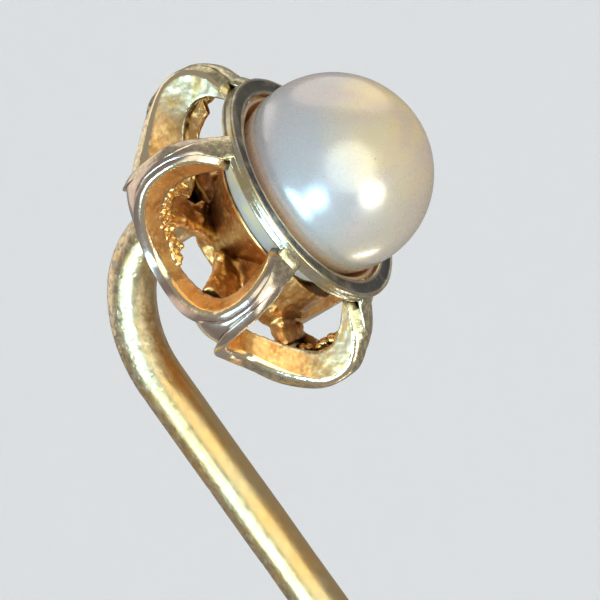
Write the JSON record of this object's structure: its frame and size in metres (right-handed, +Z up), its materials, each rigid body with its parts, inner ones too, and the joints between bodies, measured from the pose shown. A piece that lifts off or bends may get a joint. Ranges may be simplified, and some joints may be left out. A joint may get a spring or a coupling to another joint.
{
  "type": "hat pin",
  "caption": "Gold pin with a large round pearl in a ringed cup, an openwork gallery of ribbon loops behind it and a gooseneck wire stem that tapers to a point.",
  "frame": {"origin": "on the stem's axis, at the top of its straight shank, where the wire begins to bend", "axes": "+Z up along the shank, away from the point; -Y the way the pearl faces; +X to the right of the pearl seen from the front"},
  "size_m": [0.008, 0.0102, 0.075],
  "materials": {
    "pearl": "gloss",
    "cement": "satin",
    "gold": "polished",
    "rosy_gold": "polished",
    "solder": "satin"
  },
  "bodies": {
    "root": {"pearl": "pearl", "pearl_peg": "gold", "pearl_cement": "cement", "setting_cup": "gold", "rim_ring": "gold", "gallery_loop_1": "rosy_gold", "gallery_loop_2": "rosy_gold", "gallery_loop_3": "rosy_gold", "gallery_loop_4": "rosy_gold", "gallery_loop_5": "rosy_gold", "gallery_loop_6": "rosy_gold", "gallery_core": "rosy_gold", "rim_solder": "solder", "gallery_solder": "solder", "stem_solder": "solder", "pin_stem": "gold"}
  },
  "joints": []
}
